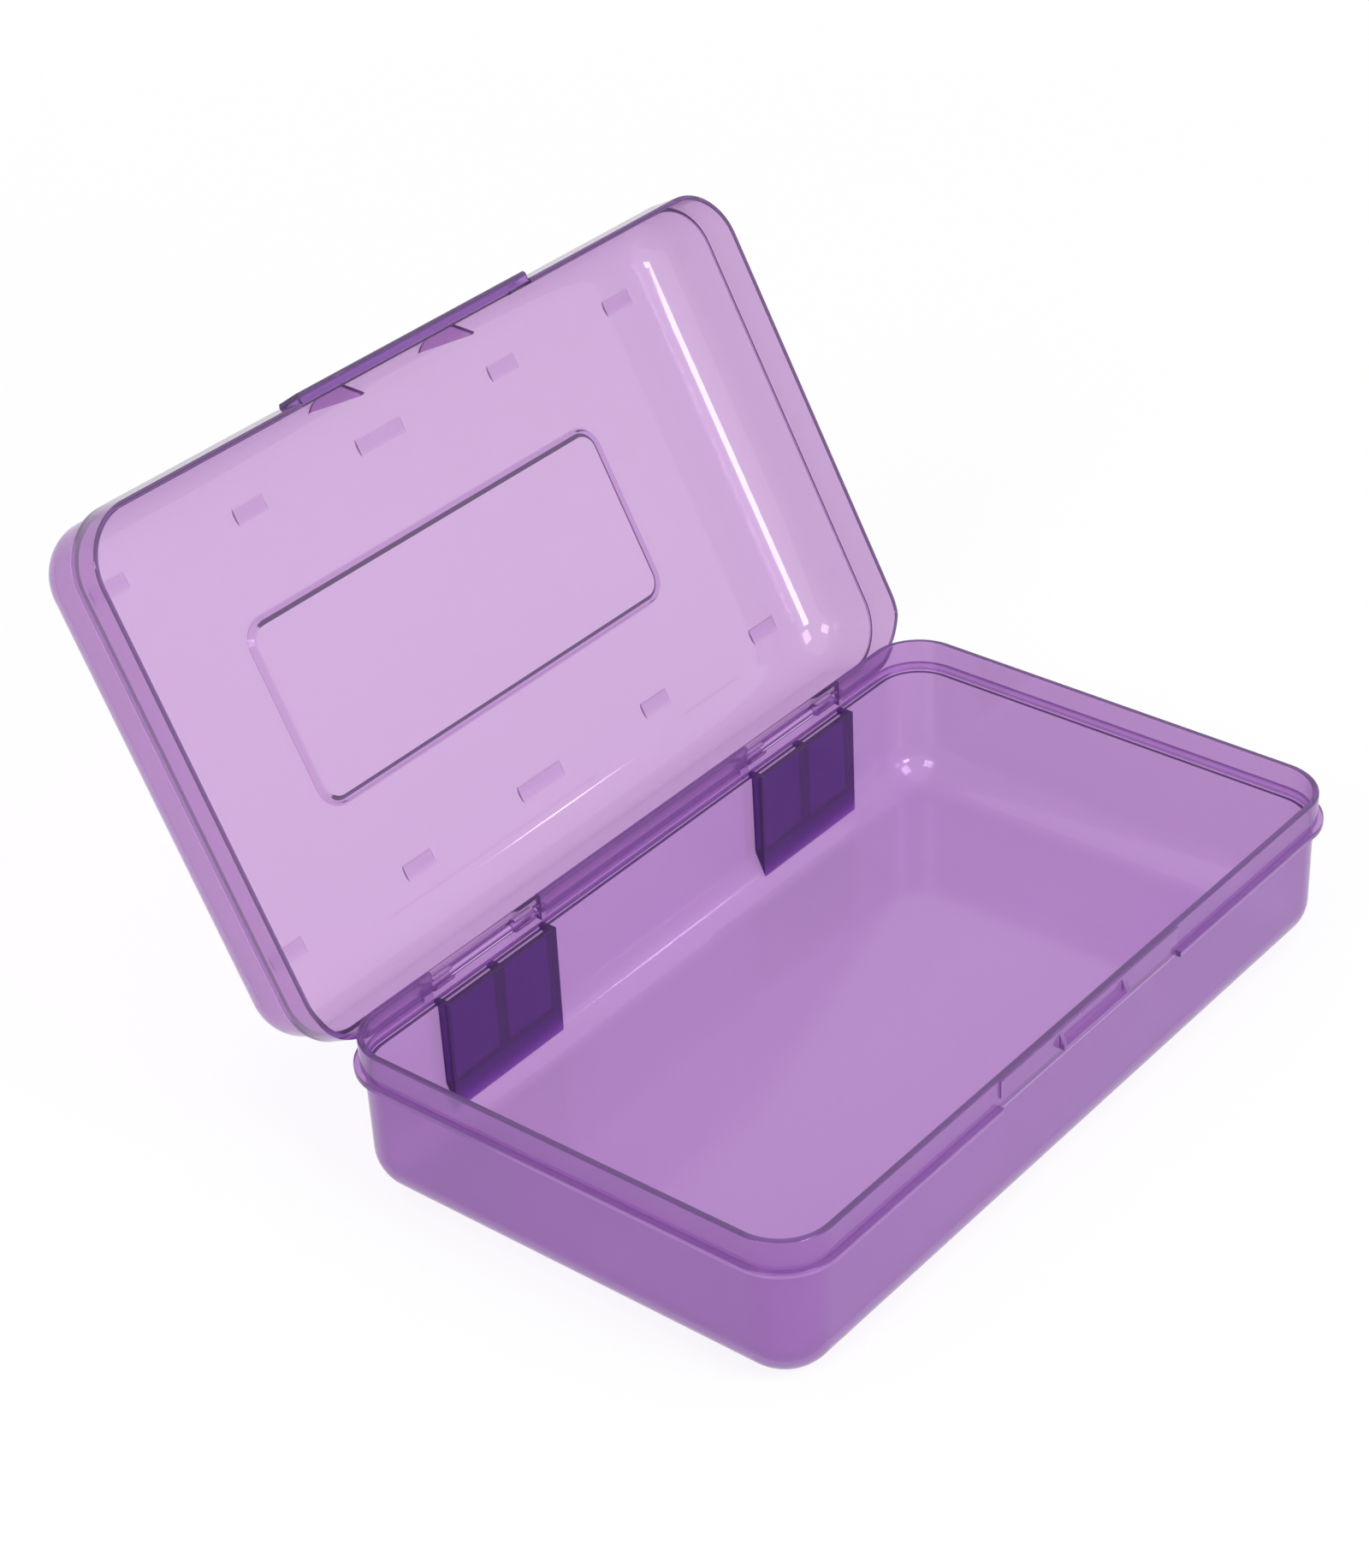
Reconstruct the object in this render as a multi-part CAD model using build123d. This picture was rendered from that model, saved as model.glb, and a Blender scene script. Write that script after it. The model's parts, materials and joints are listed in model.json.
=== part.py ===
from build123d import *
import math
import os

# A hinged plastic pencil box: a drafted tray with a neck and flange, and a domed lid that sleeves over it.
# Millimetres, +Z up, +X along the length, +Y to the hinge side. Origin: middle of the flat underside.

# Tray
tray_length = 206.6  # over the neck
tray_width = 122.0  # over the neck
tray_height = 39.0
tray_wall = 1.45
neck_height = 6.8
neck_corner = 12.8
rim_round = 0.5
flange_overhang = 1.3
flange_thickness = 1.5
body_setback = 0.9  # body wall behind the neck's outer face
body_draft = 0.6  # degrees
floor_radius = 10.0

# Lid
open_angle = 118.0  # degrees between the closed and the open lid
lid_wall = 1.2
lid_depth = 27.0  # rim to the outside of the plate
lid_draft = 5.0  # degrees
lid_radius = 10.0
band_height = 9.1
band_step = 0.9
sleeve_gap = 0.3  # neck to the inside of the band
seat_gap = 0.3  # flange to the lid's rim

# Hinges
hinge_spacing = 110.8  # between the middles of the two windows
window_width = 36.0
pin_diameter = 1.6
pin_rise = 2.0  # pin axis above the flange
pin_offset = 0.4  # pin axis outside the neck's face
bore_gap = 0.05
knuckle_wall = 0.85
knuckle_width = 6.0
knuckle_pitch = 27.0
mouth_width = 1.3
leaf_width = 33.0
leaf_clearance = 2.0  # pin axis to the leaf's lower edge
ear_width = 2.2
ear_rise = 1.2  # ear above the pin axis
ear_margin = 0.1  # ear outside the pin
lid_relief_gap = 0.4  # lid's cut-out beside an ear
ear_relief_rise = 2.4  # lid's cut-out above the pin axis, over the ears
back_relief_rise = 0.5  # lid's rim above the pin axis, along the back
back_relief_reach = 8.5  # neck's back face to where the rim begins to rise, on the corners
back_relief_full = 1.0  # neck's back face to where it has risen

# Guards inside the tray, in front of the hinge windows
guard_width = 36.4
guard_reach = 4.1  # neck's inner face to the guard's front face
guard_wall = 1.5
guard_drop = 7.0  # rim to the guard's top
guard_rib = 2.2
guard_rib_drop = 0.6

# Latch
notch_width = 67.4  # gap in the flange
pad_height = 4.5
pad_top_drop = 0.4
pad_thickness = 0.5
catch_width = 25.0
catch_reach = 1.9  # outside the neck's face
catch_top_drop = 1.0
catch_lip = 0.8
catch_rib = 1.2
tab_width = 74.6
tab_gap = 0.4
tab_flex = 9.0  # degrees
tab_plate = 1.2
tab_root = 1.55  # thickness at its root
tab_haunch = 1.8  # height of the thick root
tab_proud = 2.1  # lip outside the band
tab_top_proud = 1.0
hook_height = 1.4
hook_bite = 1.0
hook_gap = 0.3
root_gap = 0.3
root_drop = 0.3

# Ribs inside the lid's front wall
rib_spacing = 36.4
rib_wall = 1.2
rib_reach = 3.35  # inside the wall
rib_tip_height = 3.6  # above the lid's rim

# Outside of the lid's plate
pip_height = 0.7
pip_pitch = 42.3
pip_row = 44.3
pip_width = 4.5
pip_length = 9.2
middle_pip_length = 14.8
label_length = 116.8
label_width = 43.8
label_corner = 5.0
label_depth = 1.2
label_slope = 1.0  # run of the recess's sloped sides
label_shoulder = 1.3  # how far the raised inside reaches past the recess

# Worked-out levels and places
flange_top = tray_height - neck_height
flange_bottom = flange_top - flange_thickness
lid_rim = flange_top + seat_gap
band_top = lid_rim + band_height
band_roof = band_top - lid_wall
lid_top = lid_rim + lid_depth
neck_x = tray_length / 2
neck_y = tray_width / 2
band_x = neck_x + sleeve_gap + lid_wall
band_y = neck_y + sleeve_gap + lid_wall
band_corner = neck_corner + sleeve_gap + lid_wall
pin_y = neck_y + pin_offset
pin_z = flange_top + pin_rise
pin_radius = pin_diameter / 2
window_centre = hinge_spacing / 2
pad_bottom = tray_height - pad_top_drop - pad_height
hook_top = pad_bottom - hook_gap
far = 2 * tray_length  # larger than anything here, for cutting tools

pin_axis = Axis((0, pin_y, pin_z), (1, 0, 0))


def rounded_block(half_x, half_y, corner, bottom, top, taper=0.0):
    """A block with rounded upright corners; a positive taper draws it in towards the top."""
    outline = Plane.XY.offset(bottom) * RectangleRounded(2 * half_x, 2 * half_y, corner)
    return extrude(outline, amount=top - bottom, taper=taper)


def span(x0, x1, y0, y1, z0, z1):
    """A plain box between two corners."""
    return Pos((x0 + x1) / 2, (y0 + y1) / 2, (z0 + z1) / 2) * Box(x1 - x0, y1 - y0, z1 - z0)


def along_x(points, x0, x1):
    """A prism along X with the outline given as (y, z) points."""
    outline = Plane.YZ.offset(x0) * make_face(Polyline(*points, close=True))
    return extrude(outline, amount=x1 - x0, dir=(1, 0, 0))


def drafted_cup(inset, bottom):
    """The body's form with its walls drawn in by an inset, from a given bottom up to the flange."""
    draft = math.tan(math.radians(body_draft))
    shrink = body_setback + inset + draft * (flange_bottom - bottom)
    half_x = neck_x - shrink
    half_y = neck_y - shrink
    block = rounded_block(half_x, half_y, neck_corner - shrink, bottom, flange_bottom, -body_draft)
    return fillet(block.faces().sort_by(Axis.Z)[0].edges(), floor_radius - inset)


def tray_cavity():
    """The space inside the tray: the drafted body below the flange and the wider neck above it."""
    half_x = neck_x - tray_wall
    half_y = neck_y - tray_wall
    neck = rounded_block(half_x, half_y, neck_corner - tray_wall, flange_bottom, tray_height + tray_wall)
    return drafted_cup(tray_wall, tray_wall) + neck


def tray_shell():
    """Body, flange and neck, with the hinge windows, the ears for the pins and the gap in the flange."""
    flange_x = neck_x + flange_overhang
    flange_y = neck_y + flange_overhang
    flange = rounded_block(flange_x, flange_y, neck_corner + flange_overhang, flange_bottom, flange_top)
    neck = rounded_block(neck_x, neck_y, neck_corner, flange_bottom, tray_height)
    neck = fillet(neck.faces().sort_by(Axis.Z)[-1].edges(), rim_round)
    flange -= span(-notch_width / 2, notch_width / 2, -far, -neck_y, 0, far)
    shell = drafted_cup(0.0, 0.0) + flange + neck
    ear_back = pin_y + pin_radius + ear_margin
    ear_top = pin_z + ear_rise
    for side in (-1, 1):
        for end in (-1, 1):
            edge = side * window_centre + end * window_width / 2
            outer = edge + end * ear_width
            left = min(edge, outer)
            ear = span(left, left + ear_width, neck_y - tray_wall / 2, ear_back, flange_bottom, ear_top)
            crown = ear.edges().filter_by(Axis.X).sort_by(lambda e: e.center().Y + e.center().Z)[-1]
            shell += fillet(crown, pin_radius)
    shell -= tray_cavity()
    for side in (-1, 1):
        left = side * window_centre - window_width / 2
        shell -= span(left, left + window_width, 0, far, flange_top, far)
    return shell


def hinge_guard(side):
    """A thin box inside the back wall, open at its top, that keeps what lies in the tray out of the hinge.

    It is solid as far up as the round between the floor and the wall.
    """
    centre = side * window_centre
    front = neck_y - tray_wall - guard_reach
    top = tray_height - guard_drop
    half = guard_width / 2
    block = span(centre - half, centre + half, front, far, 0, top) & tray_cavity()
    inner = half - guard_wall
    slot = span(centre - inner, centre + inner, front + guard_wall, far, floor_radius, far)
    slot -= span(centre - guard_rib / 2, centre + guard_rib / 2, 0, far, 0, top - guard_rib_drop)
    return block - slot


def hinge_pin(side):
    """A round pin across one hinge window, from ear to ear."""
    place = Location((side * window_centre, pin_y, pin_z), (0, 90, 0))
    return place * Cylinder(pin_radius, window_width)


def latch_catch():
    """A pad on the front of the neck, and on it the catch: a lip with a sloped web at each end."""
    face = -neck_y
    pad_face = face - pad_thickness
    pad_top = tray_height - pad_top_drop
    pad = span(-notch_width / 2, notch_width / 2, pad_face, face, pad_bottom, pad_top)
    pad = fillet(pad.edges().filter_by(Axis.X).group_by(Axis.Y)[0], pad_thickness / 2)
    lip_edge = face - catch_reach
    lip_top = pad_bottom + catch_lip
    half = catch_width / 2
    lip = span(-half, half, lip_edge, face, pad_bottom, lip_top)
    ramp = [(face, pad_bottom), (lip_edge, pad_bottom), (lip_edge, lip_top),
            (pad_face, tray_height - catch_top_drop), (face, tray_height - catch_top_drop)]
    catch = pad + lip + along_x(ramp, -half, catch_rib - half) + along_x(ramp, half - catch_rib, half)
    return catch


def lid_cavity():
    """The space inside the lid: the sleeve over the neck, and the drafted dome above it."""
    upper = lid_wall + band_step
    dome = rounded_block(
        band_x - upper, band_y - upper, band_corner - upper, band_roof, lid_top - lid_wall, lid_draft
    )
    dome = fillet(dome.faces().sort_by(Axis.Z)[-1].edges(), lid_radius - lid_wall)
    sleeve = rounded_block(
        band_x - lid_wall, band_y - lid_wall, band_corner - lid_wall, lid_rim - lid_wall, band_roof
    )
    return dome + sleeve


def lid_form():
    """The lid's outside: a rim band that stands proud of the drafted wall, and a plate with a round."""
    half_x = band_x - band_step
    half_y = band_y - band_step
    dome = rounded_block(half_x, half_y, band_corner - band_step, band_roof, lid_top, lid_draft)
    dome = fillet(dome.faces().sort_by(Axis.Z)[-1].edges(), lid_radius)
    return dome + rounded_block(band_x, band_y, band_corner, lid_rim, band_top)


def pip(column, row):
    """A low pad that locates a second box on top: a slice of a cylinder lying along X."""
    length = middle_pip_length if column == 0 else pip_length
    half = pip_width / 2
    crown = ThreePointArc((-half, 0), (0, pip_height), (half, 0))
    root = Polyline((half, 0), (half, -lid_wall / 2), (-half, -lid_wall / 2), (-half, 0))
    outline = Plane.YZ.offset(-length / 2) * make_face(crown + root)
    return Pos(column * pip_pitch, row * pip_row, lid_top) * extrude(outline, amount=length, dir=(1, 0, 0))


def label_step(grow, level):
    """The shallow sloped block that sets the label's place in, grown by a margin, wide face at a level."""
    wide = RectangleRounded(label_length + 2 * grow, label_width + 2 * grow, label_corner + grow)
    shrink = 2 * label_slope
    narrow = RectangleRounded(
        label_length + 2 * grow - shrink, label_width + 2 * grow - shrink, label_corner + grow - label_slope
    )
    return loft([Plane.XY.offset(level) * wide, Plane.XY.offset(level - label_depth) * narrow])


def locating_rib(side):
    """A rib inside the lid's front wall, whose tip reaches down inside the tray's rim."""
    wall_face = band_step + lid_wall - band_y
    inner = wall_face + rib_reach
    tip = lid_rim + rib_tip_height
    slope_top = band_top - root_drop
    left = side * rib_spacing / 2 - rib_wall / 2
    outline = [(wall_face - lid_wall / 2, lid_top - lid_wall / 2), (wall_face - lid_wall / 2, slope_top),
               (wall_face, slope_top), (inner - lid_wall / 3, tip), (inner, tip + lid_wall / 3),
               (inner, lid_top - lid_wall / 2)]
    return along_x(outline, left, left + rib_wall) & lid_form()


def lid_shell():
    """The lid without its hinge leaves and latch tab, which have their own cut-outs here."""
    shell = lid_form() - lid_cavity()
    back = neck_y - back_relief_reach
    raised_rim = pin_z + back_relief_rise
    relief_side = [(back, lid_rim), (neck_y - back_relief_full, raised_rim), (far, raised_rim),
                   (far, 0), (back, 0)]
    shell -= along_x(relief_side, -far, far)
    relief = window_width / 2 + ear_width + lid_relief_gap
    for side in (-1, 1):
        centre = side * window_centre
        shell -= span(centre - relief, centre + relief, back, far, 0, pin_z + ear_relief_rise)
        shell -= span(centre - leaf_width / 2, centre + leaf_width / 2, back, far, 0, band_roof)
    half = tab_width / 2 + tab_gap
    root = band_top - root_drop
    shell -= span(-half, half, -far, 0, 0, root)
    shell -= span(-half, half, -far, band_step - band_y, 0, band_top)
    for side in (-1, 1):
        shell += locating_rib(side)
    shell += label_step(label_shoulder, lid_top - lid_wall)
    shell -= label_step(0.0, lid_top)
    for row in (-1, 1):
        for column in (-2, -1, 0, 1, 2):
            shell += pip(column, row)
    return shell


def hinge_leaf(side):
    """A plate that carries the lid's back wall down to two open hooks, which snap over the pin."""
    centre = side * window_centre
    face = band_y - band_step
    inner = face - lid_wall
    half = leaf_width / 2
    leaf = span(centre - half, centre + half, inner, face, pin_z + leaf_clearance, band_roof)
    bore = pin_radius + bore_gap
    hook_radius = bore + knuckle_wall
    mouth = mouth_width / 2
    for end in (-1, 1):
        middle = centre + end * (knuckle_pitch / 2)
        left = middle - knuckle_width / 2
        right = middle + knuckle_width / 2
        place = Location((middle, pin_y, pin_z), (0, 90, 0))
        hook = span(left, right, inner, face, pin_z, pin_z + leaf_clearance)
        hook += place * Cylinder(hook_radius, knuckle_width)
        hook -= place * Cylinder(bore, 2 * knuckle_width)
        hook -= span(left, right, pin_y - mouth, pin_y + mouth, pin_z - 2 * hook_radius, pin_z)
        leaf += hook
    return leaf


def latch_tab():
    """The springy front tab: a plate with a thumb lip at its lower edge, hooked in under the catch."""
    band_face = -band_y
    root = band_top - root_drop - root_gap
    tip = -(neck_y + catch_reach) + hook_bite
    lip_face = band_face - tab_proud
    shoulder = band_face - tab_top_proud
    inner_low = lip_face + tab_plate
    inner_high = shoulder + tab_plate
    root_inner = band_face + tab_root
    outline = [(root_inner, root), (band_face + tab_plate / 4, root), (shoulder, root - tab_plate / 2),
               (lip_face, lid_rim + hook_height / 2), (lip_face + hook_height / 3, lid_rim), (tip, lid_rim),
               (tip, hook_top - hook_height / 3), (tip - hook_height / 3, hook_top), (inner_low, hook_top),
               (inner_high, root - tab_haunch), (root_inner, root - tab_haunch / 2)]
    return along_x(outline, -tab_width / 2, tab_width / 2)


os.makedirs("parts", exist_ok=True)

tray_pieces = {
    "tray_shell": tray_shell(),
    "hinge_guard_left": hinge_guard(-1),
    "hinge_guard_right": hinge_guard(1),
    "hinge_pin_left": hinge_pin(-1),
    "hinge_pin_right": hinge_pin(1),
    "latch_catch": latch_catch(),
}
lid_pieces = {
    "lid_shell": lid_shell(),
    "hinge_leaf_left": hinge_leaf(-1),
    "hinge_leaf_right": hinge_leaf(1),
    "latch_tab": latch_tab(),
}
for name, piece in tray_pieces.items():
    export_step(piece, f"parts/{name}.step")
for name, piece in lid_pieces.items():
    export_step(piece.rotate(pin_axis, -open_angle), f"parts/{name}.step")
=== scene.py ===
import json
import math

import bpy
import numpy as np
from mathutils import Matrix, Vector


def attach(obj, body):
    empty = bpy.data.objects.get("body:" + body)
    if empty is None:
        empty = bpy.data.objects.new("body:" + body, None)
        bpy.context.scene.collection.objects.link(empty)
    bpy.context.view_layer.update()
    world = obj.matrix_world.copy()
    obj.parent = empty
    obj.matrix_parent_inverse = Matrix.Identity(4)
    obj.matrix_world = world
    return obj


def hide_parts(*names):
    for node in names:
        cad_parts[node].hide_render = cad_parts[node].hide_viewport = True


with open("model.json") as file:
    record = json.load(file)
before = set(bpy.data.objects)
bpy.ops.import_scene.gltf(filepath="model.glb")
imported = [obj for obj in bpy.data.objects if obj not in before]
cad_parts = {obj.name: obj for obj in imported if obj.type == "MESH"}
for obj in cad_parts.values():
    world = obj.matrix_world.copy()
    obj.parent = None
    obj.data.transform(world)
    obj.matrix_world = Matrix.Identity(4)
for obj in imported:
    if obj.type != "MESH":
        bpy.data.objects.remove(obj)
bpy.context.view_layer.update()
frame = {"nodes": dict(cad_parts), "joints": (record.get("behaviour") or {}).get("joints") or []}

mm = 0.001

# Camera
# It stands off the box's front left corner, looks down on the open box and is tipped a little
# to one side.
lens_mm = 82.95
camera_place = np.array([-520.1, -393.7, 491.0]) * mm
camera_turn, camera_drop, camera_tip = np.radians([49.68, 32.71, 2.98])
nearest_seen = 0.01

ahead = np.array([math.sin(camera_turn) * math.cos(camera_drop),
                  math.cos(camera_turn) * math.cos(camera_drop), -math.sin(camera_drop)])
level = np.array([math.cos(camera_turn), -math.sin(camera_turn), 0.0])
upright = np.cross(level, ahead)
right = math.cos(camera_tip) * level - math.sin(camera_tip) * upright
top = math.sin(camera_tip) * level + math.cos(camera_tip) * upright

camera_data = bpy.data.cameras.new("camera")
camera_data.lens = lens_mm
camera_data.clip_start = nearest_seen
camera = bpy.data.objects.new("camera", camera_data)
pose = np.eye(4)
pose[:3, 0], pose[:3, 1], pose[:3, 2], pose[:3, 3] = right, top, -ahead, camera_place
camera.matrix_world = Matrix(pose.tolist())
bpy.context.scene.collection.objects.link(camera)
bpy.context.scene.camera = camera
bpy.context.scene.view_settings.view_transform = "Standard"

# Studio
# A white surround and a white floor, which keeps a faint shadow near the box and fades to plain
# white further off. Three soft lamps in front and a small one at the right light the box, and put
# the long streak and the bright spots in the lid's rounds.
surround_light = 0.55  # its light on the box; where it is seen it is white
floor_half, floor_drop = 4.0, 0.0002
floor_white, floor_roughness = 0.97, 0.9
shadow_near, shadow_far = 0.15, 0.8
share_near, share_far = 0.82, 1.0  # how much of the floor's look is plain white


def where_seen(nodes, links):
    """One for a ray from the camera, through clear plastic or off a gloss, and nought otherwise."""
    rays = nodes.new("ShaderNodeLightPath")
    through = nodes.new("ShaderNodeMath")
    through.operation = "MAXIMUM"
    links.new(rays.outputs["Is Camera Ray"], through.inputs[0])
    links.new(rays.outputs["Is Transmission Ray"], through.inputs[1])
    seen = nodes.new("ShaderNodeMath")
    seen.operation = "MAXIMUM"
    links.new(through.outputs["Value"], seen.inputs[0])
    links.new(rays.outputs["Is Glossy Ray"], seen.inputs[1])
    return seen.outputs["Value"]


world = bpy.data.worlds.new("surround")
world.use_nodes = True
world_nodes, world_links = world.node_tree.nodes, world.node_tree.links
world_nodes["Background"].inputs["Color"].default_value = (1.0, 1.0, 1.0, 1.0)
world_strength = world_nodes.new("ShaderNodeMath")
world_strength.operation = "MAXIMUM"
world_strength.inputs[1].default_value = surround_light
world_links.new(where_seen(world_nodes, world_links), world_strength.inputs[0])
world_links.new(world_strength.outputs["Value"], world_nodes["Background"].inputs["Strength"])
bpy.context.scene.world = world

floor_paint = bpy.data.materials.new("floor_paint")
floor_paint.use_nodes = True
floor_nodes, floor_links = floor_paint.node_tree.nodes, floor_paint.node_tree.links
matt = floor_nodes["Principled BSDF"]
matt.inputs["Base Color"].default_value = (floor_white, floor_white, floor_white, 1.0)
matt.inputs["Roughness"].default_value = floor_roughness
plain_white = floor_nodes.new("ShaderNodeEmission")
floor_place = floor_nodes.new("ShaderNodeTexCoord")
floor_away = floor_nodes.new("ShaderNodeVectorMath")
floor_away.operation = "LENGTH"
floor_links.new(floor_place.outputs["Object"], floor_away.inputs[0])
floor_fade = floor_nodes.new("ShaderNodeMapRange")
floor_fade.inputs["From Min"].default_value = shadow_near
floor_fade.inputs["From Max"].default_value = shadow_far
floor_fade.inputs["To Min"].default_value = share_near
floor_fade.inputs["To Max"].default_value = share_far
floor_links.new(floor_away.outputs["Value"], floor_fade.inputs["Value"])
floor_share = floor_nodes.new("ShaderNodeMath")
floor_share.operation = "MULTIPLY"
floor_links.new(where_seen(floor_nodes, floor_links), floor_share.inputs[0])
floor_links.new(floor_fade.outputs["Result"], floor_share.inputs[1])
floor_mix = floor_nodes.new("ShaderNodeMixShader")
floor_links.new(floor_share.outputs["Value"], floor_mix.inputs["Fac"])
floor_links.new(matt.outputs["BSDF"], floor_mix.inputs[1])
floor_links.new(plain_white.outputs["Emission"], floor_mix.inputs[2])
floor_links.new(floor_mix.outputs["Shader"], floor_nodes["Material Output"].inputs["Surface"])

floor_mesh = bpy.data.meshes.new("floor")
floor_corners = [(x * floor_half, y * floor_half, -floor_drop)
                 for x, y in ((-1, -1), (1, -1), (1, 1), (-1, 1))]
floor_mesh.from_pydata(floor_corners, [], [(0, 1, 2, 3)])
floor = bpy.data.objects.new("floor", floor_mesh)
bpy.context.scene.collection.objects.link(floor)
floor_mesh.materials.append(floor_paint)

lamp_aim = Vector((0.0, 0.05, 0.06))
lamp_distance = 3.0


def soft_lamp(name, turn, height, width, tall, glow):
    """A rectangular lamp far off that faces the box, at a compass turn and a height in degrees.

    glow is how bright it looks, so its power is glow times pi times its area.
    """
    turn, height = math.radians(turn), math.radians(height)
    data = bpy.data.lights.new(name, "AREA")
    data.shape = "RECTANGLE"
    data.size, data.size_y = width, tall
    data.energy = glow * math.pi * width * tall
    lamp = bpy.data.objects.new(name, data)
    towards = Vector((math.sin(turn) * math.cos(height), math.cos(turn) * math.cos(height),
                      math.sin(height)))
    lamp.location = lamp_aim + towards * lamp_distance
    lamp.rotation_euler = towards.to_track_quat("Z", "Y").to_euler()
    bpy.context.scene.collection.objects.link(lamp)


soft_lamp("front_lamp", turn=-167, height=18, width=0.95, tall=0.60, glow=14)
soft_lamp("high_lamp", turn=178, height=44, width=1.20, tall=1.30, glow=7)
soft_lamp("left_lamp", turn=-98, height=33, width=1.20, tall=1.10, glow=7)
soft_lamp("side_lamp", turn=136, height=26, width=0.10, tall=0.20, glow=14)

# Tray
# One injection moulding of clear purple plastic: drafted walls with a large round to the floor,
# a flange all round, and above it a neck for the lid to slide over, with a gap for each hinge
# and one for the latch.
neck_half = np.array([103.3, 61.0])
neck_corner = 12.8
line_half = neck_half - neck_corner  # rings of tray and lid are drawn at a distance round this
tray_height, tray_wall = 39.0, 1.45
flange_top, flange_bottom, flange_reach = 32.2, 30.7, 1.3
body_setback, body_draft, floor_round = 0.9, math.radians(0.6), 10.0
small_round, rim_round = 0.25, 0.5
window_middle, window_half = 55.4, 18.0
ear_width, ear_top, ear_round = 2.2, 35.4, 0.8
notch_half = 33.7
corner_steps, round_steps, rim_steps, edge_steps = 20, 12, 5, 4
tag_reach = 10.0  # how far outside the oblong a straight side's tag lies
crease = math.radians(30)  # a sharper edge than this shows as an edge
touching = 1e-6
edge_segments = 3


def stops(front_cuts, back_cuts):
    """Stops round the oblong, anticlockwise from the front left: rows (x, y, normal, tag).

    A straight side is cut into stretches at the given places, and a stretch has a stop at each
    end, so that two stretches meet in two stops at one place and can differ there. The tag is
    the middle of the stop's stretch, moved out from the oblong.
    """
    half_x, half_y = line_half
    rows = []

    def straight(places, fixed, normal, along_x):
        for start, end in zip(places[:-1], places[1:]):
            middle = (start + end) / 2
            for place in (start, end):
                if along_x:
                    rows.append((place, fixed, *normal, middle, fixed + normal[1] * tag_reach))
                else:
                    rows.append((fixed, place, *normal, fixed + normal[0] * tag_reach, middle))

    def corner(centre, start):
        for angle in np.radians(np.linspace(start, start + 90, corner_steps + 1)):
            rows.append((*centre, math.cos(angle), math.sin(angle), centre[0], 0))

    straight([-half_x, *sorted(front_cuts), half_x], -half_y, (0, -1), True)
    corner((half_x, -half_y), -90)
    straight([-half_y, half_y], half_x, (1, 0), False)
    corner((half_x, half_y), 0)
    straight([half_x, *sorted(back_cuts, reverse=True), -half_x], half_y, (0, 1), True)
    corner((-half_x, half_y), 90)
    straight([half_y, -half_y], -half_x, (-1, 0), False)
    corner((-half_x, -half_y), 180)
    return np.array(rows)


def sides(rows):
    """How far each stop's stretch is from the middle, and whether it is in front or behind."""
    tag_x, tag_y = np.abs(rows[:, 4]), rows[:, 5]
    outside = line_half[1] + tag_reach / 2
    return tag_x, tag_y < -outside, tag_y > outside


def arc(centre, radius, start, end, steps):
    """Points (r, z) on a round edge, from one angle to another in degrees."""
    angles = np.radians(np.linspace(start, end, steps + 1))
    return np.stack([centre[0] + radius * np.cos(angles), centre[1] + radius * np.sin(angles)],
                    axis=1)


def section_of(runs):
    """Joins the named runs of a section end to end, and says where each run's points are."""
    ends = np.cumsum([0, *(len(run) for run in runs.values())]).tolist()
    where = {name: slice(*span) for name, span in zip(runs, zip(ends[:-1], ends[1:]))}
    return np.concatenate(list(runs.values())), where


def ringed(points):
    """The faces of a closed moulding whose points are a grid of stops by rings.

    Neighbouring rings are joined by quads, and the first and last ring, which are flat, are each
    closed by one face.
    """
    index = np.arange(points.shape[0] * points.shape[1]).reshape(points.shape[:2])
    following = np.roll(index, -1, axis=0)
    quads = np.stack([index[:, :-1], following[:, :-1], following[:, 1:], index[:, 1:]], axis=2)
    return [*quads.reshape(-1, 4).tolist(), index[::-1, 0].tolist(), index[:, -1].tolist()]


def shell(name, rows, rings, place=None):
    """A moulding from rings: ring k at a stop is centre * (fx, fy) + r * normal, at height z.

    rings has the shape (stops, rings, 4) and holds (fx, fy, r, z), in an order that goes up the
    outside and down the inside. place moves the finished points.
    """
    centre, normal = rows[:, None, 0:2], rows[:, None, 2:4]
    flat = centre * rings[..., 0:2] + normal * rings[..., 2:3]
    points = np.concatenate([flat, rings[..., 3:4]], axis=2)
    if place is not None:
        points = place(points)
    return moulding(name, points)


def rounded(piece, edge):
    """Rounds a piece's sharp edges by so many millimetres, as in a mould."""
    bevel = piece.modifiers.new("rounded_edges", "BEVEL")
    bevel.width = edge * mm
    bevel.segments = edge_segments
    bevel.limit_method = "ANGLE"
    bevel.angle_limit = crease


def evenly_shaded(piece):
    """Lets a piece's flat faces shade flat and its rounds smooth."""
    even = piece.modifiers.new("even_shading", "WEIGHTED_NORMAL")
    even.keep_sharp = True


def moulding(name, points, edge=None):
    """A closed piece from a grid of points in millimetres, with crisp edges or rounded ones."""
    mesh = bpy.data.meshes.new(name)
    mesh.from_pydata((points.reshape(-1, 3) * mm).tolist(), [], ringed(points))
    piece = bpy.data.objects.new(name, mesh)
    bpy.context.scene.collection.objects.link(piece)
    bpy.context.view_layer.objects.active = piece
    weld = piece.modifiers.new("weld", "WELD")
    weld.merge_threshold = touching
    bpy.ops.object.modifier_apply(modifier=weld.name)
    mesh.shade_smooth()
    if edge is None:
        mesh.set_sharp_from_angle(angle=crease)
    else:
        rounded(piece, edge)
    evenly_shaded(piece)
    return piece


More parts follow.
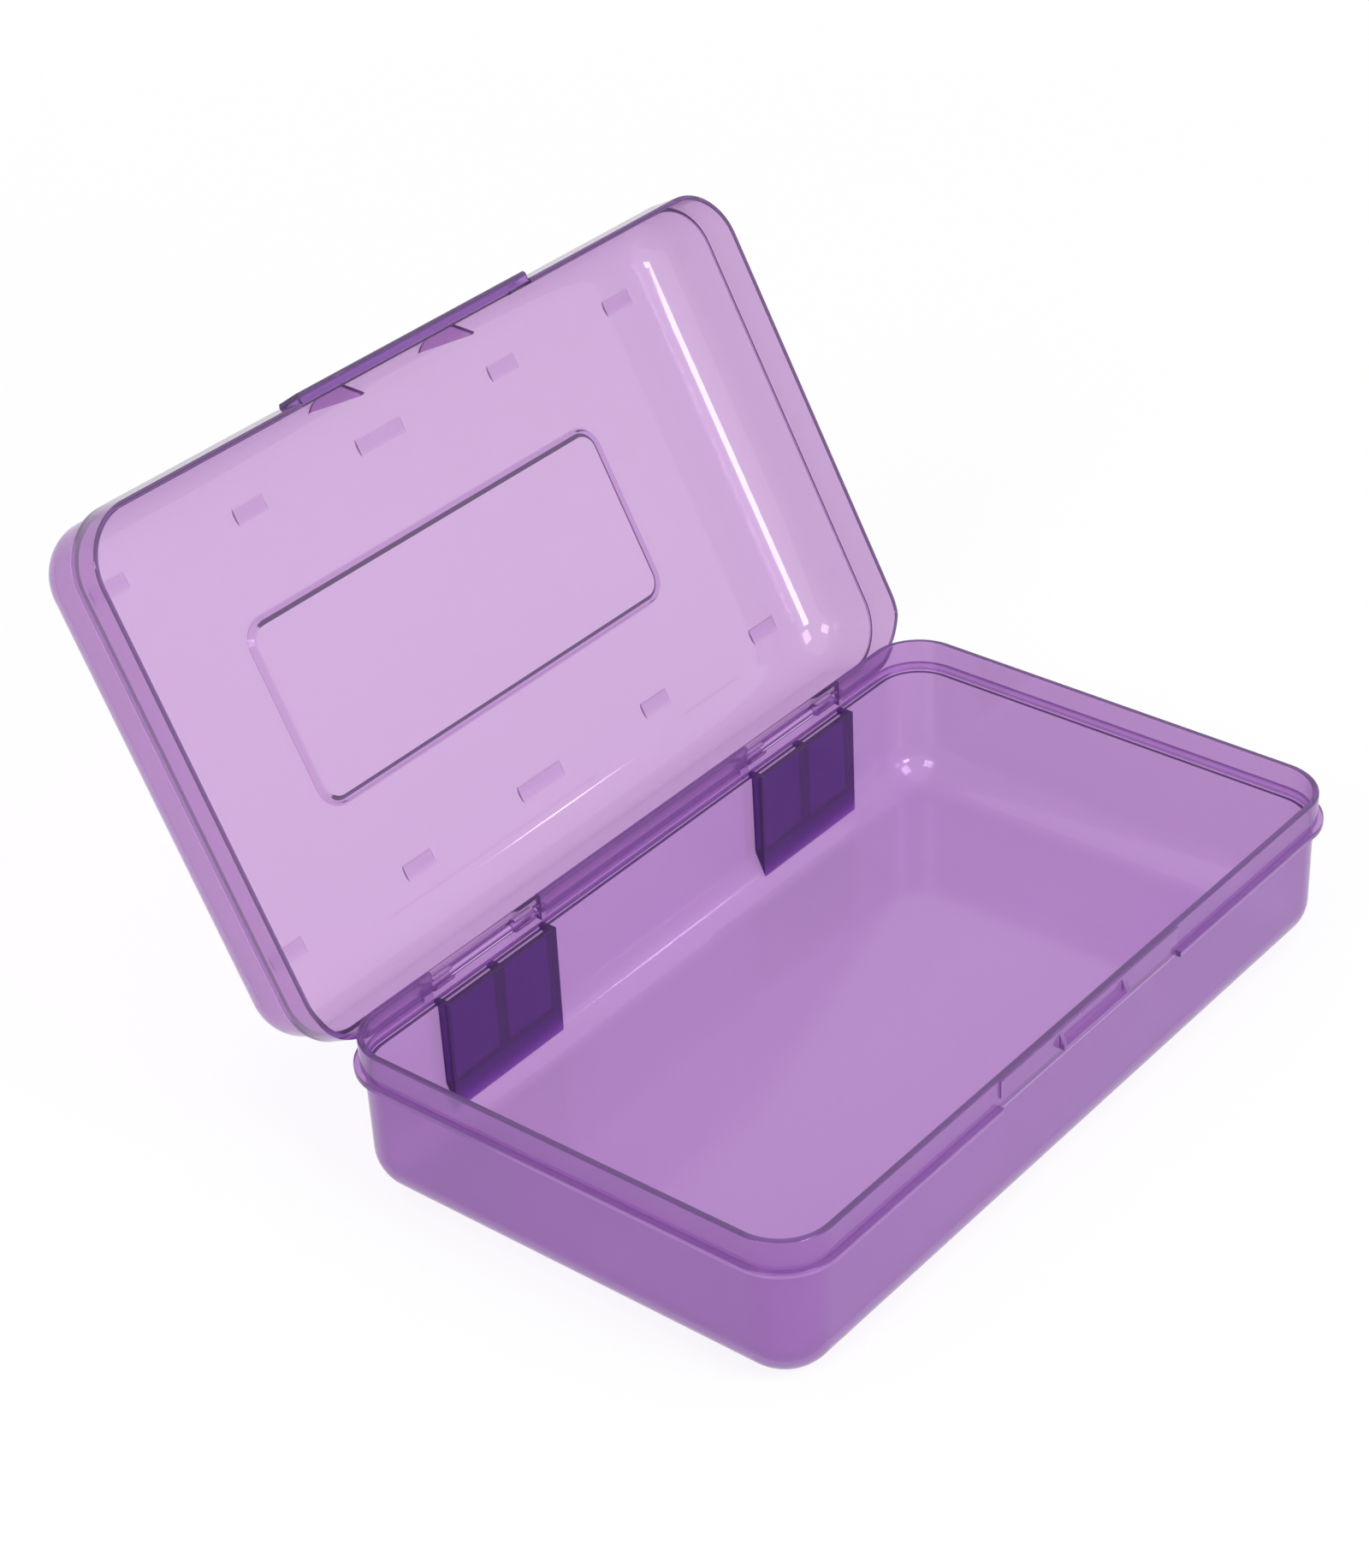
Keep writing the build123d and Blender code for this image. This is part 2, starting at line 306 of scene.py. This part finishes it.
clear_index, clear_share = 1.49, 0.93
flow_scale, flow_detail = 28.0, 3.0  # the melt's flow shows as patches a few centimetres wide
ripple_strength, ripple_height = 0.012, 0.0008
cloudy_dark, cloudy_light = (0.23, 0.08, 0.36, 1.0), (0.34, 0.14, 0.48, 1.0)
lamps_through = (0.92, 0.88, 0.94, 1.0)
dye_colour = (0.62, 0.30, 0.76, 1.0)


def clear_plastic(name, tint, haze, gloss, dye_and_shade_density, sheen=(0.85, 0.72, 1.0)):
    """Clear purple plastic: glass with dye in it, and a share of cloudy dye that scatters light.

    Its gloss, given as the roughness from and to, and a slight ripple follow the melt's flow in
    the mould. The lamps' shadow rays pass straight through, so that they light what lies behind.
    """
    material = bpy.data.materials.new(name)
    material.use_nodes = True
    nodes, links = material.node_tree.nodes, material.node_tree.links
    out, clear = nodes["Material Output"], nodes["Principled BSDF"]
    # On the hinge guards and the latch tab the tint is darker, as painted shade.
    clear.inputs["Base Color"].default_value = (*tint, 1.0)
    clear.inputs["IOR"].default_value = clear_index
    # On the hinge guards a darker sheen is painted shade in their reflections.
    clear.inputs["Specular Tint"].default_value = (*sheen, 1.0)
    clear.inputs["Transmission Weight"].default_value = clear_share

    place = nodes.new("ShaderNodeTexCoord")
    flow = nodes.new("ShaderNodeTexNoise")
    flow.inputs["Scale"].default_value = flow_scale
    flow.inputs["Detail"].default_value = flow_detail
    links.new(place.outputs["Object"], flow.inputs["Vector"])
    shine = nodes.new("ShaderNodeMapRange")
    shine.inputs["To Min"].default_value, shine.inputs["To Max"].default_value = gloss
    links.new(flow.outputs["Fac"], shine.inputs["Value"])
    links.new(shine.outputs["Result"], clear.inputs["Roughness"])
    ripple = nodes.new("ShaderNodeBump")
    ripple.inputs["Strength"].default_value = ripple_strength
    ripple.inputs["Distance"].default_value = ripple_height
    links.new(flow.outputs["Fac"], ripple.inputs["Height"])
    links.new(ripple.outputs["Normal"], clear.inputs["Normal"])

    cloudy = nodes.new("ShaderNodeValToRGB")
    cloudy.color_ramp.elements[0].color = cloudy_dark
    cloudy.color_ramp.elements[1].color = cloudy_light
    links.new(flow.outputs["Fac"], cloudy.inputs["Fac"])
    lit = nodes.new("ShaderNodeBsdfDiffuse")
    links.new(cloudy.outputs["Color"], lit.inputs["Color"])
    hazy = nodes.new("ShaderNodeMixShader")
    hazy.inputs["Fac"].default_value = haze
    links.new(clear.outputs["BSDF"], hazy.inputs[1])
    links.new(lit.outputs["BSDF"], hazy.inputs[2])

    let_through = nodes.new("ShaderNodeBsdfTransparent")
    let_through.inputs["Color"].default_value = lamps_through
    rays = nodes.new("ShaderNodeLightPath")
    for_lamps = nodes.new("ShaderNodeMixShader")
    links.new(rays.outputs["Is Shadow Ray"], for_lamps.inputs["Fac"])
    links.new(hazy.outputs["Shader"], for_lamps.inputs[1])
    links.new(let_through.outputs["BSDF"], for_lamps.inputs[2])
    links.new(for_lamps.outputs["Shader"], out.inputs["Surface"])
    # The dye's density is the plastic's own dye; raised on the hinge guards and the latch tab, it
    # is painted shade there.
    dye = nodes.new("ShaderNodeVolumeAbsorption")
    dye.inputs["Color"].default_value = dye_colour
    dye.inputs["Density"].default_value = dye_and_shade_density
    links.new(dye.outputs["Volume"], out.inputs["Volume"])
    return material


def tray_rings(rows):
    """The tray's section at every stop: up the outside from the floor, over the rim and down.

    The section is drawn once. At the windows, the ears and the notch its neck or flange is cut.
    """
    slope, draft = math.tan(body_draft), math.degrees(body_draft)
    body, flange = neck_corner - body_setback, neck_corner + flange_reach
    lean = slope * (flange_bottom - floor_round) + floor_round / math.cos(body_draft)
    round_centre = (body - lean, floor_round)
    inside, edge = neck_corner - tray_wall, small_round
    section, where = section_of({
        "outer_round": arc(round_centre, floor_round, -90, -draft, round_steps),
        "flange_under": [(body, flange_bottom), (flange - edge, flange_bottom),
                         (flange, flange_bottom + edge)],
        "flange_edge": arc((flange - edge, flange_top - edge), edge, 0, 90, edge_steps),
        "neck_foot": [(neck_corner, flange_top)],
        "rim_outside": arc((neck_corner - rim_round, tray_height - rim_round), rim_round,
                           0, 90, rim_steps),
        "rim_inside": arc((inside + edge, tray_height - edge), edge, 90, 180, edge_steps),
        "step_inside": [(inside, flange_bottom), (body - tray_wall, flange_bottom)],
        "inner_round": arc(round_centre, floor_round - tray_wall, -draft, -90, round_steps),
    })
    sections = np.repeat(section[None], len(rows), axis=0)
    tag_x, front, back = sides(rows)
    from_window = np.abs(tag_x - window_middle)
    window = back & (from_window < window_half)
    ear = back & ~window & (from_window < window_half + ear_width)
    notch = front & (tag_x < notch_half)
    sections[window, :, 1] = np.minimum(sections[window, :, 1], flange_top)
    sections[ear, where["flange_edge"]] = arc((flange - ear_round, ear_top - ear_round), ear_round,
                                              0, 90, edge_steps)
    sections[ear, where["neck_foot"]] = (neck_corner, ear_top)
    proud = slice(where["flange_under"].start, where["neck_foot"].stop)
    sections[notch, proud, 0] = np.minimum(sections[notch, proud, 0], neck_corner)
    return np.concatenate([np.ones_like(sections), sections], axis=2)


window_cuts = [side * (window_middle + end) for side in (-1, 1)
               for end in (-window_half - ear_width, -window_half, window_half,
                           window_half + ear_width)]
tray_stops = stops([-notch_half, notch_half], window_cuts)
tray_plastic = clear_plastic("tray_plastic", tint=(0.775, 0.59, 0.80), haze=0.13,
                             gloss=(0.08, 0.12), dye_and_shade_density=480)
tray = shell("tray", tray_stops, tray_rings(tray_stops))
tray.data.materials.append(tray_plastic)
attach(tray, "tray")
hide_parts("tray_shell")

# Lid
# The other moulding, of the same plastic: a plate with a large round to its drafted wall, and a
# rim band that stands proud and slides over the tray's neck. The band is cut back over the hinges
# and cut free in front for the latch tab.
lid_hinge = next(joint for joint in frame["joints"] if joint["name"] == "lid_hinge")
lid_wall, lid_rim, band_height, band_gap = 1.2, 32.5, 9.1, 0.3
band_outside = neck_corner + band_gap + lid_wall
band_step, lid_draft, lid_round = 0.9, math.radians(5.0), 10.0
lid_top = 59.5
band_top = lid_rim + band_height
ramp_start, ramp_end, back_rim = 52.5, 60.0, 34.7  # the rim rises to the back round the corners
ear_relief, relief_half, leaf_half = 36.6, 20.6, 16.5
tab_gap_half, tab_root = 37.7, 41.3
rib_middle, rib_half, rib_reach, rib_tip = 18.2, 0.6, 3.35, 36.1
rib_bevel = lid_wall / 3
pip_pitch, pip_row, pip_half_width, pip_height = 42.3, 44.3, 2.25, 0.7
pip_half_length, middle_pip_half_length = 4.6, 7.4
pip_columns, pip_steps = 3, 9
label_half = np.array([58.4, 21.9])
label_corner, label_slope, label_depth, label_shoulder = 5.0, 1.0, 1.2, 1.3


def opened(points):
    """Turns points of the closed lid back about the hinge pins, by the whole range of the hinge."""
    angle = -math.radians(lid_hinge["range_deg"][1])
    pin = np.array(lid_hinge["pos_m"]) / mm
    moved = points - pin
    y = moved[..., 1] * math.cos(angle) - moved[..., 2] * math.sin(angle)
    z = moved[..., 1] * math.sin(angle) + moved[..., 2] * math.cos(angle)
    return np.stack([moved[..., 0], y, z], axis=-1) + pin


def plate_ring(half, corner, height):
    """One ring on the lid's plate: an oblong of its own half size and corner, as (fx, fy, r, z)."""
    return (*((np.array(half) - corner) / line_half), corner, height)


def lid_rings(rows):
    """The lid's section at every stop: out over the plate, down the outside, round the rim and up.

    The wall's section is drawn once, and raised or set back at the hinges, the tab and the ribs.
    The plate's rings go round the label's recess, and along the rows of pips, which swell there.
    """
    slope, draft = math.tan(lid_draft), math.degrees(lid_draft)
    roof, outside = band_top - lid_wall, band_outside - band_step
    turn = lid_top - lid_round
    lean = slope * (turn - roof) + lid_round / math.cos(lid_draft)
    round_centre = (outside - lean, turn)
    inside, edge = band_outside - lid_wall, small_round
    wall_inside = inside - band_step
    section, where = section_of({
        "outer_round": arc(round_centre, lid_round, 90, draft, round_steps),
        "wall_foot": [(outside - slope * lid_wall, band_top)],
        "band": [(band_outside - edge, band_top), (band_outside, band_top - edge),
                 (band_outside, lid_rim + edge), (band_outside - edge, lid_rim),
                 (inside + edge, lid_rim), (inside, lid_rim + edge), (inside, roof),
                 (wall_inside, roof)],
        "rib_foot": [(wall_inside, roof), (wall_inside, roof)],
        "inner_round": arc(round_centre, lid_round - lid_wall, draft, 90, round_steps),
    })
    sections = np.repeat(section[None], len(rows), axis=0)
    tag_x, front, back = sides(rows)
    from_window = np.abs(tag_x - window_middle)
    rim = np.full(len(rows), lid_rim)
    rim[back & (from_window < relief_half)] = ear_relief
    rim[back & (from_window < leaf_half)] = roof
    tab_gap = front & (tag_x < tab_gap_half)
    rim[tab_gap] = tab_root
    depth = rows[:, 1, None] + sections[..., 0] * rows[:, 3, None]
    ramp = np.interp(depth, [ramp_start, ramp_end], [lid_rim, back_rim])
    sections[..., 1] = np.maximum(sections[..., 1], np.maximum(rim[:, None], ramp))
    proud = slice(where["band"].start, where["rib_foot"].stop)
    sections[tab_gap, proud, 0] = np.minimum(sections[tab_gap, proud, 0], outside)
    rib = front & (np.abs(tag_x - rib_middle) < rib_half)
    rib_face = wall_inside - rib_reach
    sections[rib, where["rib_foot"]] = [(rib_face + rib_bevel, rib_tip),
                                        (rib_face, rib_tip + rib_bevel)]
    above = slice(where["inner_round"].start, where["inner_round"].stop - 1)
    sections[rib, above, 0] = np.minimum(sections[rib, above, 0], rib_face)
    wall = np.concatenate([np.ones_like(sections), sections], axis=2)

    across = np.linspace(-1, 1, pip_steps) * pip_half_width
    pip_radius = (pip_half_width ** 2 + pip_height ** 2) / (2 * pip_height)
    swell = np.sqrt(pip_radius ** 2 - across ** 2) - (pip_radius - pip_height)
    recess = plate_ring(label_half - label_slope, label_corner - label_slope,
                        lid_top - label_depth)
    pip_rings = [plate_ring((line_half[0] + edge, pip_row + offset), edge, lid_top)
                 for offset in across]
    outer_plate = np.array([recess, plate_ring(label_half, label_corner, lid_top), *pip_rings])
    outer = np.repeat(outer_plate[None], len(rows), axis=0)
    column = np.abs(tag_x[:, None] - pip_pitch * np.arange(pip_columns))
    on_pip = (front | back) & ((column[:, 0] < middle_pip_half_length)
                               | (column[:, 1:] < pip_half_length).any(axis=1))
    outer[on_pip, -pip_steps:, 3] += swell
    boss, boss_corner = label_half + label_shoulder, label_corner + label_shoulder
    boss_top = lid_top - lid_wall
    inner_plate = np.array([
        plate_ring(boss, boss_corner, boss_top),
        plate_ring(boss - label_slope, boss_corner - label_slope, boss_top - label_depth)])
    inner = np.repeat(inner_plate[None], len(rows), axis=0)
    return np.concatenate([outer, wall, inner], axis=1)[:, ::-1]


pip_cuts = [-middle_pip_half_length, middle_pip_half_length]
pip_cuts += [side * (pip_pitch * column + end * pip_half_length)
             for side in (-1, 1) for column in range(1, pip_columns) for end in (-1, 1)]
rib_cuts = [side * (rib_middle + end * rib_half) for side in (-1, 1) for end in (-1, 1)]
relief_cuts = [side * (window_middle + end * half)
               for side in (-1, 1) for end in (-1, 1) for half in (relief_half, leaf_half)]
lid_stops = stops([-tab_gap_half, tab_gap_half, *rib_cuts, *pip_cuts], [*relief_cuts, *pip_cuts])
lid_plastic = clear_plastic("lid_plastic", tint=(0.855, 0.71, 0.845), haze=0.07,
                            gloss=(0.04, 0.07), dye_and_shade_density=470, sheen=(0.90, 0.76, 1.0))
lid = shell("lid", lid_stops, lid_rings(lid_stops), opened)
lid.data.materials.append(lid_plastic)
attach(lid, "lid")
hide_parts("lid_shell")

# Hinge guards
# Two open-topped boxes inside the tray's back wall, part of its moulding, that keep what lies in
# it out of the hinges. Each has a rib in its middle. They are given a darker copy of the tray's
# plastic, with a deeper tint, a denser dye and a darker sheen: painted shade standing in for the
# light that crosses several of their walls.
guard_front, guard_half, guard_wall, guard_rib_half = 55.47, 18.18, 1.5, 1.1
guard_foot, guard_solid_to, guard_rib_top, guard_top = 3.6, 10.0, 31.4, 32.0
wall_low, wall_high, wall_neck = 58.38, 58.6, 59.52
guard_edge = 0.3


def guard(name, middle):
    """A box open at its top: rings of twelve plan points, from its foot to its top.

    Each level says how high it is in front and at the tray's wall, where that wall is, whether
    the slots are open, and whether the rib stands. Points of the plan move back or forth by it.
    """
    low, high, wall, is_open, rib = np.array([
        (guard_foot, guard_solid_to, wall_low, 0, 0),
        (guard_solid_to, guard_solid_to, wall_low, 0, 0),
        (guard_solid_to, guard_solid_to, wall_low, 1, 1),
        (flange_bottom, flange_bottom, wall_high, 1, 1),
        (flange_bottom, flange_bottom, wall_neck, 1, 1),
        (guard_rib_top, guard_rib_top, wall_neck, 1, 1),
        (guard_rib_top, guard_rib_top, wall_neck, 1, 0),
        (guard_top, guard_top, wall_neck, 1, 0)]).T
    front = np.full(len(low), guard_front)
    slot = np.where(is_open, guard_front + guard_wall, wall)
    rib_back = np.where(rib, wall, slot)
    inner = guard_half - guard_wall
    across = middle + np.array([-guard_half, guard_half, guard_half, inner, inner, guard_rib_half,
                                guard_rib_half, -guard_rib_half, -guard_rib_half, -inner, -inner,
                                -guard_half])
    depth = np.stack([front, front, wall, wall, slot, slot, rib_back, rib_back, slot, slot, wall,
                      wall])
    height = low + (depth - guard_front) / (wall - guard_front) * (high - low)
    across = np.repeat(across[:, None], len(low), axis=1)
    return moulding(name, np.stack([across, depth, height], axis=2), guard_edge)


# A darker copy of the tray's plastic: its tint, dye density and sheen are painted shade.
guard_plastic_painted_shade = clear_plastic("guard_plastic_painted_shade", tint=(0.46, 0.27, 0.63), haze=0.09,
                              gloss=(0.08, 0.12), dye_and_shade_density=2100, sheen=(0.45, 0.30, 0.80))
for guard_name, side in (("left", -1), ("right", 1)):
    hinge_guard = guard("guard_" + guard_name, side * window_middle)
    hinge_guard.data.materials.append(guard_plastic_painted_shade)
    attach(hinge_guard, "tray")
    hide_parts("hinge_guard_" + guard_name)

# Hinge pins
# A round pin of the tray's own plastic across each window of its neck, moulded with it from ear
# to ear. The lid's hooks clip over it.
pin_edge = 0.05
one_plane = math.radians(1)
hair = 0.02


def softened(node_name, body, edge, plastic):
    """A piece with a CAD node's own form and edges rounded as in a mould, a hair inside it."""
    mesh = frame["nodes"][node_name].data.copy()
    mesh.shade_smooth()
    mesh.materials.clear()
    mesh.materials.append(plastic)
    piece = bpy.data.objects.new(node_name + "_moulded", mesh)
    bpy.context.scene.collection.objects.link(piece)
    merged = piece.modifiers.new("merged", "WELD")
    merged.merge_threshold = touching
    whole_faces = piece.modifiers.new("whole_faces", "DECIMATE")
    whole_faces.decimate_type = "DISSOLVE"
    whole_faces.angle_limit = one_plane
    clear_of = piece.modifiers.new("clear_of_neighbours", "DISPLACE")
    clear_of.mid_level = 0.0
    clear_of.strength = -hair * mm
    rounded(piece, edge)
    evenly_shaded(piece)
    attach(piece, body)
    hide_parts(node_name)


softened("hinge_pin_left", "tray", pin_edge, tray_plastic)
softened("hinge_pin_right", "tray", pin_edge, tray_plastic)

# Latch catch
# A low pad on the front of the tray's neck, moulded with it, with a lip that the tab springs over
# and a sloped web at each end.
catch_edge = 0.15
softened("latch_catch", "tray", catch_edge, tray_plastic)

# Hinge leaves
# The lid's back wall goes down over each pin as a plate with two open hooks of the lid's own
# plastic, which grip the pin from above.
leaf_edge = 0.1
softened("hinge_leaf_left", "lid", leaf_edge, lid_plastic)
softened("hinge_leaf_right", "lid", leaf_edge, lid_plastic)

# Latch tab
# A springy tongue in the front of the lid's rim band, of its plastic, cut free at both ends, with
# a thumb lip along its edge. It is given a darker copy of the lid's plastic, with a deeper tint and
# a denser dye, as painted shade for its being seen end on through more plastic.
tab_edge = 0.2
# A darker copy of the lid's plastic: its tint and dye density are painted shade.
tab_plastic_painted_shade = clear_plastic("tab_plastic_painted_shade", tint=(0.72, 0.52, 0.82), haze=0.15,
                            gloss=(0.07, 0.11), dye_and_shade_density=900)
softened("latch_tab", "tab", tab_edge, tab_plastic_painted_shade)
